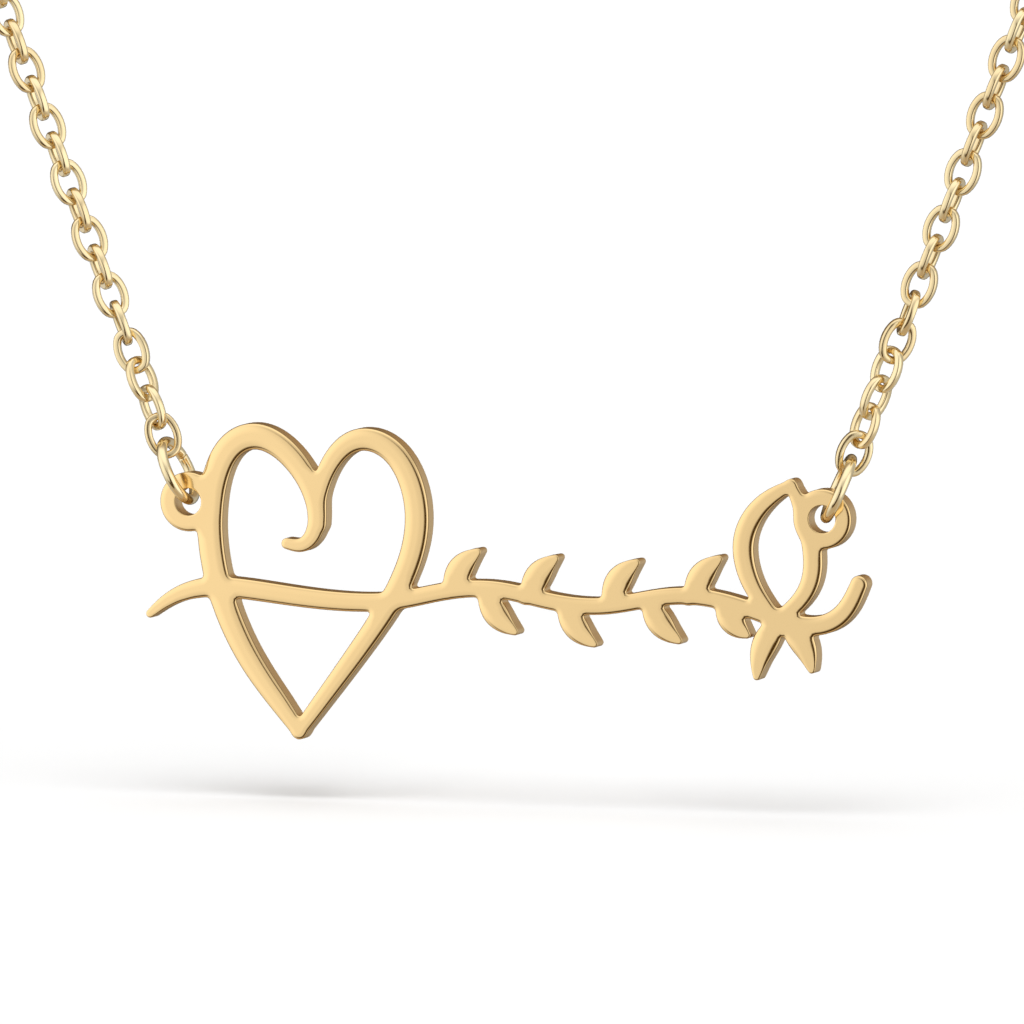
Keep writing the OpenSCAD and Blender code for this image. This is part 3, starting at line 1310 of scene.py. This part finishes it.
@dataclass
class LinkForm:
    """One oval link of wire that is pressed flat on its faces.

    Args:
        length: The link's length over all.
        width: Its width over all.
        wire_width: The wire's width, seen square to the link's face.
        wire_depth: The wire's depth, from face to face.
        rounding: Radius of the wire's four long edges.
        round_end: Share of the link's half width past which its ends stay round.
        around: Points round a link that shows.
        corner_points: Points on each rounded edge of a link that shows.
        hidden_around: Points round a hidden link.
        hidden_corner_points: Points on each of its rounded edges.
    """

    length: float = 2.65
    width: float = 1.96
    wire_width: float = 0.43
    wire_depth: float = 0.44
    rounding: float = 0.14
    round_end: float = 0.8
    around: int = 36
    corner_points: int = 3
    hidden_around: int = 12
    hidden_corner_points: int = 1

    def inputs(self, finish: bpy.types.Material) -> dict[str, object]:
        """Give the values of the node tree's inputs, with sizes in metres.

        Args:
            finish: The links' material.

        Returns:
            Each value by its input's name.
        """
        return {
            "Half Length": (self.length - self.wire_width) / 2 * MM,
            "Half Width": (self.width - self.wire_width) / 2 * MM,
            "Wire Width": self.wire_width * MM,
            "Wire Depth": self.wire_depth * MM,
            "Rounding": self.rounding * MM,
            "Around": self.around,
            "Corner Points": self.corner_points,
            "Hidden Around": self.hidden_around,
            "Hidden Corner Points": self.hidden_corner_points,
            "Finish": finish,
        }

    def tree(self) -> bpy.types.NodeTree:
        """Build the node tree that sets a link on each point of a chain.

        Returns:
            The tree, with its sizes as named inputs.
        """
        tree = bpy.data.node_groups.new("links_on_points", "GeometryNodeTree")
        face = tree.interface
        face.new_socket("Geometry", in_out="INPUT", socket_type="NodeSocketGeometry")
        for name in ("Half Length", "Half Width", "Wire Width", "Wire Depth", "Rounding"):
            face.new_socket(name, in_out="INPUT", socket_type="NodeSocketFloat")
        for name in ("Around", "Corner Points", "Hidden Around", "Hidden Corner Points"):
            face.new_socket(name, in_out="INPUT", socket_type="NodeSocketInt")
        face.new_socket("Finish", in_out="INPUT", socket_type="NodeSocketMaterial")
        face.new_socket("Geometry", in_out="OUTPUT", socket_type="NodeSocketGeometry")
        nodes = Nodes(tree)
        given = tree.nodes.new("NodeGroupInput")
        source = {socket.name: Sock(nodes, socket) for socket in given.outputs if socket.name}
        shown = nodes.named("shown", "BOOLEAN")
        hidden = nodes.add("FunctionNodeBooleanMath", {"operation": "NOT"}, {0: shown})
        settings = {"primary_axis": "Y", "secondary_axis": "Z"}
        axes = {
            "Primary Axis": nodes.named("along", "FLOAT_VECTOR"),
            "Secondary Axis": nodes.named("front", "FLOAT_VECTOR"),
        }
        turn = nodes.add("FunctionNodeAxesToRotation", settings, axes)
        joined = tree.nodes.new("GeometryNodeJoinGeometry")
        for chosen, word in ((shown, ""), (hidden, "Hidden ")):
            link = self.link(nodes, source, source[f"{word}Around"], source[f"{word}Corner Points"])
            inputs = {
                "Points": source["Geometry"],
                "Selection": chosen,
                "Instance": link,
                "Rotation": turn,
            }
            links = nodes.add("GeometryNodeInstanceOnPoints", {}, inputs)
            tree.links.new(links.value, joined.inputs[0])
        real = nodes.add("GeometryNodeRealizeInstances", {}, {0: Sock(nodes, joined.outputs[0])})
        inputs = {"Geometry": real, "Material": source["Finish"]}
        dressed = nodes.add("GeometryNodeSetMaterial", {}, inputs)
        nodes.add("NodeGroupOutput", {}, {"Geometry": dressed})
        return tree

    def link(self, nodes: Nodes, source: dict[str, Sock], around: Sock, corner: Sock) -> Sock:
        """Add the nodes of one link: a ring pulled long, with a wire swept along it.

        Args:
            nodes: The tree's node maker.
            source: The tree's inputs, by name.
            around: Points round the link.
            corner: Points on each rounded edge of the wire.

        Returns:
            The link's mesh.
        """
        width, length = source["Half Width"], source["Half Length"]
        inputs = {"Resolution": around, "Radius": width}
        ring = nodes.add("GeometryNodeCurvePrimitiveCircle", {}, inputs)
        place = nodes.add("GeometryNodeInputPosition", {}, {})
        height = nodes.add("ShaderNodeSeparateXYZ", {}, {0: place}, 1)
        inputs = {"Value": height / width, 1: -self.round_end, 2: self.round_end, 3: -1.0, 4: 1.0}
        pulled = nodes.add("ShaderNodeMapRange", {"interpolation_type": "LINEAR"}, inputs)
        inputs = {0: 0.0, 1: pulled * (length - width), 2: 0.0}
        offset = nodes.add("ShaderNodeCombineXYZ", {}, inputs)
        oval = nodes.add("GeometryNodeSetPosition", {}, {"Geometry": ring, "Offset": offset})
        inputs = {"Width": source["Wire Width"], "Height": source["Wire Depth"]}
        section = nodes.add("GeometryNodeCurvePrimitiveQuadrilateral", {"mode": "RECTANGLE"}, inputs)
        inputs = {"Curve": section, "Count": corner, "Radius": source["Rounding"]}
        wire = nodes.add("GeometryNodeFilletCurve", {"mode": "POLY"}, inputs)
        swept = nodes.add("GeometryNodeCurveToMesh", {}, {"Curve": oval, "Profile Curve": wire})
        return nodes.add("GeometryNodeSetShadeSmooth", {}, {"Geometry": swept})


@dataclass
class Chain:
    """One side's cable chain, from the jump ring to the clasp.

    The pitch of the links is the CAD model's, so its link's length and wire stand here too.

    Args:
        side: Which side it is.
        low_turns: Turns of the lowest links, one by one from the jump ring, in degrees.
        turn: Turn of the links further up that lie flat to the front.
        parity: 0 where those are the second, fourth and so on, 1 where the first, third and so on.
        link_length: Length of a link in the CAD model.
        link_wire: Diameter of its wire there.
        lean: Lean of the straight front from the vertical, in degrees.
        gap: Room between neighbouring links.
        hang_gap: Room between the jump ring and the lowest link.
        front_points: How many points draw the straight front.
        front_step: Spacing of those points.
        route: Points that draw the hidden stretch of the left chain, up to the clasp.
        route_steps: Points worked out on each stretch between two of them.
        slack_start: Share of the chain past which it twists until its last link fits the clasp.
        shown_links: How many links get the fine form, from the jump ring.
        seed: Start of the random draw of each link's tone.
    """

    side: Side
    low_turns: Row
    turn: float
    parity: int
    link_length: float = 2.61
    link_wire: float = 0.41
    lean: float = 21.6
    gap: float = 0.12
    hang_gap: float = 0.21
    front_points: int = 4
    front_step: float = 13.0
    route_steps: int = 20
    slack_start: float = 0.4
    shown_links: int = 30
    seed: int = 17
    route: tuple[Row, ...] = (
        (-39.3, -50, -39), (-44, -41.5, -28), (-48, -29, -17.5), (-50.3, -14.5, -8.5),
        (-50.3, 1, -1), (-47, 16.5, 5), (-39.8, 30, 9.5), (-29.5, 40, 12.5), (-17.5, 46, 14),
    )

    def points(self, plate: Plate, ring: Ring, clasp: Clasp) -> np.ndarray:
        """Work out the joints between the links.

        Args:
            plate: The plate.
            ring: The jump ring that the chain holds.
            clasp: The clasp that it ends in.

        Returns:
            One joint to a row, from the jump ring to the clasp.
        """
        up = ring.leaned(self.lean)
        foot = ring.top(plate) - ((ring.wire - self.gap) / 2 + self.hang_gap) * up
        reach = clasp.eye_x + clasp.eye_radius - clasp.eye_wire / 2 - (clasp.eye_wire + self.gap) / 2
        outwards = np.array([self.side.value, 0.0, 0.0])
        head = np.array(clasp.place) + reach * outwards
        mirror = np.array([-self.side.value, 1, 1])
        rows = [foot + k * self.front_step * up for k in range(self.front_points)]
        rows += [np.array(p) * mirror for p in self.route]
        rows += [head + self.front_step / 2 * outwards, head]
        line = spline(np.array(rows), self.route_steps)
        pitch = self.link_length - 2 * self.link_wire - self.gap
        return respaced(line, math.ceil(lengths_along(line)[-1] / pitch) + 1)

    def turns(self, count: int) -> np.ndarray:
        """Work out each link's turn about the chain, before the last ones are brought square.

        Args:
            count: How many links there are.

        Returns:
            The turn of each link, in degrees.
        """
        turns = 90 * ((np.arange(count) + 1 + self.parity) % 2) + self.turn
        turns[: len(self.low_turns)] = self.low_turns
        return turns

    def frames(self, joints: np.ndarray) -> tuple[np.ndarray, np.ndarray]:
        """Work out how each link lies.

        Args:
            joints: The joints between the links.

        Returns:
            The direction along each link, and the one that it faces.
        """
        along = unit(np.diff(joints, axis=0))
        normals = []
        normal = np.array([0.0, -1.0, 0.0])
        for t in along:
            normal = unit(normal - (normal @ t) * t)
            normals.append(normal)
        carried = np.array(normals)
        turns = self.turns(len(along))
        facing = self.turned(carried[-1], along[-1], turns[-1])
        up = np.array([0.0, 0.0, 1.0])
        slack = math.degrees(math.atan2(np.cross(facing, up) @ along[-1], facing @ up))
        slack -= 180 * round(slack / 180)
        shares = np.arange(len(along)) / (len(along) - 1)
        turns = turns + slack * smooth(shares, self.slack_start, 1)
        fronts = [self.turned(n, t, a) for n, t, a in zip(carried, along, turns)]
        return along, np.array(fronts)

    @staticmethod
    def turned(normal: np.ndarray, axis: np.ndarray, angle: float) -> np.ndarray:
        """Turn a normal about the chain by an angle in degrees."""
        a = math.radians(angle)
        return normal * math.cos(a) + np.cross(axis, normal) * math.sin(a)

    def build(
        self,
        joints: np.ndarray,
        form: LinkForm,
        tree: bpy.types.NodeTree,
        finish: bpy.types.Material,
    ) -> bpy.types.Object:
        """Make the chain.

        Args:
            joints: The joints between the links.
            form: The link's sizes.
            tree: The node tree that sets the links.
            finish: Its material.

        Returns:
            The finished piece.
        """
        along, front = self.frames(joints)
        middles = (joints[1:] + joints[:-1]) / 2
        count = len(middles)
        mesh = bpy.data.meshes.new(f"link_places_{self.side.word}")
        mesh.from_pydata((middles * MM).tolist(), [], [])
        keep_values(mesh, "along", along)
        keep_values(mesh, "front", front)
        keep_values(mesh, "shown", np.arange(count) < self.shown_links)
        keep_values(mesh, "tone", np.random.default_rng(self.seed + self.parity).random(count))
        places = in_scene(mesh.name, mesh)
        modifier = places.modifiers.new("links", "NODES")
        modifier.node_group = tree
        values = form.inputs(finish)
        for item in tree.interface.items_tree:
            if item.in_out == "INPUT" and item.name in values:
                modifier[item.identifier] = values[item.name]
        bpy.context.view_layer.update()
        evaluated = places.evaluated_get(bpy.context.evaluated_depsgraph_get())
        plain = bpy.data.meshes.new_from_object(evaluated)
        bpy.data.objects.remove(places)
        return in_scene(f"cable_links_{self.side.word}", plain)


# The studio


@dataclass(frozen=True)
class Glow:
    """A soft patch of the studio's walls.

    Args:
        azimuth: Its direction from the front towards the right, in degrees.
        elevation: Its height above the horizon, in degrees.
        inner: How far from its middle it is full, in degrees.
        outer: How far from its middle it ends.
        level: Its brightness.
        warmth: How brown it is, from 0 to 1.
    """

    azimuth: float
    elevation: float
    inner: float
    outer: float
    level: float
    warmth: float = 0.0

    @property
    def direction(self) -> Row:
        """The direction of its middle."""
        return towards(self.azimuth, self.elevation)

    @property
    def light(self) -> Colour:
        """Its light, as red, green and blue."""
        return tuple(self.level * (1 - loss * self.warmth) for loss in BROWN_LOSS)


@dataclass
class Studio:
    """The floor, the light and the camera.

    Args:
        azimuth: Where the camera stands, from the front towards the right, in degrees.
        elevation: How high it looks from, in degrees.
        lens: Its focal length in millimetres.
        sensor: Width of its sensor in millimetres.
        clip: Nearest and farthest distance that it sees, as shares of its own distance.
        pixels_per_mm: Pixels of the photograph to a millimetre, square to the view.
        frame_pixels: Width of the photograph in pixels.
        aim: What the middle of the picture shows, in millimetres.
        floor_drop: How far the floor lies below the lowest point.
        floor_half: How far it reaches each way.
        base_level: Brightness of the walls between the glows, as the metal reflects them.
        diffuse_level: Brightness of the walls as they light the floor.
        backdrop_level: Brightness of the walls as the camera sees them.
        lamps: Rows of each lamp's tilt towards the camera, its width and its strength.
        glows: The soft patches of the walls, each over those before it.
    """

    azimuth: float = 18.0
    elevation: float = 4.9
    lens: float = 500.0
    sensor: float = 36.0
    clip: tuple[float, float] = (0.02, 20.0)
    pixels_per_mm: float = 18.2
    frame_pixels: int = 1024
    aim: tuple[float, float, float] = (0.35, -54.0, -90.165)
    floor_drop: float = 3.4
    floor_half: float = 1600.0
    base_level: float = 0.7
    diffuse_level: float = 0.03
    backdrop_level: float = 1.0
    lamps: tuple[Row, ...] = ((30, 54, 2.42), (0, 60, 0.745), (-24, 56, 0.725))
    glows: tuple[Glow, ...] = (
        Glow(0, -85, 20, 60, 0.55, 0.4),
        Glow(162, 0, 30, 65, 0.53),
        Glow(0, 85, 25, 60, 1.3),
        Glow(-160, 40, 30, 52, 0.4, 0.5),
        Glow(-130, 0, 28, 46, 0.22, 0.5),
        Glow(72, 0, 24, 44, 1.35),
        Glow(-7, -16, 33, 41, 0.07, 1.0),
        Glow(-22, -4, 22, 34, 0.84),
        Glow(-57, 10, 8, 50, 1.24),
        Glow(-123, -15, 10, 22, 0.8),
        Glow(-162, -5, 12, 34, 0.06, 0.6),
    )

    def build(self, lowest: float) -> None:
        """Set up the floor, the light and the camera.

        Args:
            lowest: The lowest point of the object, in metres.
        """
        self.floor(lowest - self.floor_drop * MM)
        self.world()
        self.light()
        self.camera()
        settings = bpy.context.scene.view_settings
        settings.view_transform = "Standard"
        settings.look = "None"

    def floor(self, height: float) -> None:
        """Lay the floor.

        Args:
            height: Its height in metres.
        """
        half, z = self.floor_half, height / MM
        corners = np.array([[-half, -half, z], [half, -half, z], [half, half, z], [-half, half, z]])
        floor = Surface("floor", corners, [(0, 1, 2, 3)]).build(FLOOR_PAPER.make())
        floor.visible_glossy = False

    def world(self) -> None:
        """Paint the studio's soft walls, which the metal reflects."""
        world = bpy.data.worlds.new("studio")
        bpy.context.scene.world = world
        world.use_nodes = True
        nodes = Nodes(world.node_tree)
        direction = nodes.add("ShaderNodeTexCoord", {}, {}, "Generated")
        light = Sock(nodes, (self.base_level,) * 3)
        for glow in self.glows:
            inputs = {0: direction, 1: glow.direction}
            near = nodes.add("ShaderNodeVectorMath", {"operation": "DOT_PRODUCT"}, inputs, "Value")
            outer, inner = (math.cos(math.radians(angle)) for angle in (glow.outer, glow.inner))
            light = nodes.mixed(nodes.ranged(near, outer, inner), light, glow.light)
        rays = (("Is Diffuse Ray", self.diffuse_level), ("Is Camera Ray", self.backdrop_level))
        for ray, level in rays:
            seen = nodes.add("ShaderNodeLightPath", {}, {}, ray)
            light = nodes.mixed(seen, light, (level,) * 3)
        shader = nodes.add("ShaderNodeBackground", {}, {"Color": light, "Strength": 1.0})
        nodes.add("ShaderNodeOutputWorld", {}, {"Surface": shader})
        world.cycles.sampling_method = "NONE"

    def light(self) -> None:
        """Light the floor softly from above, so that the shadow lies under the plate."""
        for tilt, angle, strength in self.lamps:
            lamp = bpy.data.lights.new("soft_light", "SUN")
            lamp.energy = strength
            lamp.angle = math.radians(angle)
            holder = in_scene(lamp.name, lamp)
            holder.rotation_euler = (math.radians(tilt), 0.0, math.radians(self.azimuth))
            holder.visible_glossy = False

    def camera(self) -> None:
        """Set up the camera at the photograph's angle."""
        data = bpy.data.cameras.new("camera")
        data.lens, data.sensor_width = self.lens, self.sensor
        back = Vector(towards(self.azimuth, self.elevation))
        width = self.frame_pixels / self.pixels_per_mm * MM
        distance = self.lens / self.sensor * width
        data.clip_start, data.clip_end = (distance * share for share in self.clip)
        holder = in_scene("camera", data)
        holder.rotation_mode = "QUATERNION"
        holder.location = Vector(self.aim) * MM + back * distance
        holder.rotation_quaternion = (-back).to_track_quat("-Z", "Y")
        bpy.context.scene.camera = holder


def seat(piece: bpy.types.Object, node: str, body: str) -> None:
    """Put a piece in the place of a node of the frame.

    Args:
        piece: The piece.
        node: The node that it stands for.
        body: The body that it moves with.
    """
    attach(piece, body)
    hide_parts(node)
    LOG.info("%s stands for %s: %d points", piece.name, node, len(piece.data.vertices))


def main() -> None:
    """Build the pieces in order, then the studio."""
    logging.basicConfig(level=logging.INFO, format="%(name)s: %(message)s")
    plate_gold, chain_gold = PLATE_GOLD.make(), CHAIN_GOLD.make()
    plate, clasp, form = Plate(), Clasp(), LinkForm()
    seat(plate.build(plate_gold), "nameplate", "pendant")
    seat(clasp.build(chain_gold), "clasp", "chain")
    tree = form.tree()
    rings = {
        Side.LEFT: Ring(Side.LEFT, turn=0, cut=25),
        Side.RIGHT: Ring(Side.RIGHT, turn=18, cut=-20),
    }
    chains = {
        Side.LEFT: Chain(Side.LEFT, low_turns=(22, -40, 63, 1, 119), turn=38, parity=0),
        Side.RIGHT: Chain(Side.RIGHT, low_turns=(28, -34, 63, -27, 35, 116), turn=-3, parity=1),
    }
    for side, ring in rings.items():
        joints = chains[side].points(plate, ring, clasp)
        seat(ring.build(plate, chain_gold), f"jump_ring_{side.word}", "pendant")
        links = chains[side].build(joints, form, tree, chain_gold)
        seat(links, f"chain_{side.word}", "chain")
    Studio().build(CAD_BOX[0][2])


if __name__ == "__main__":
    main()
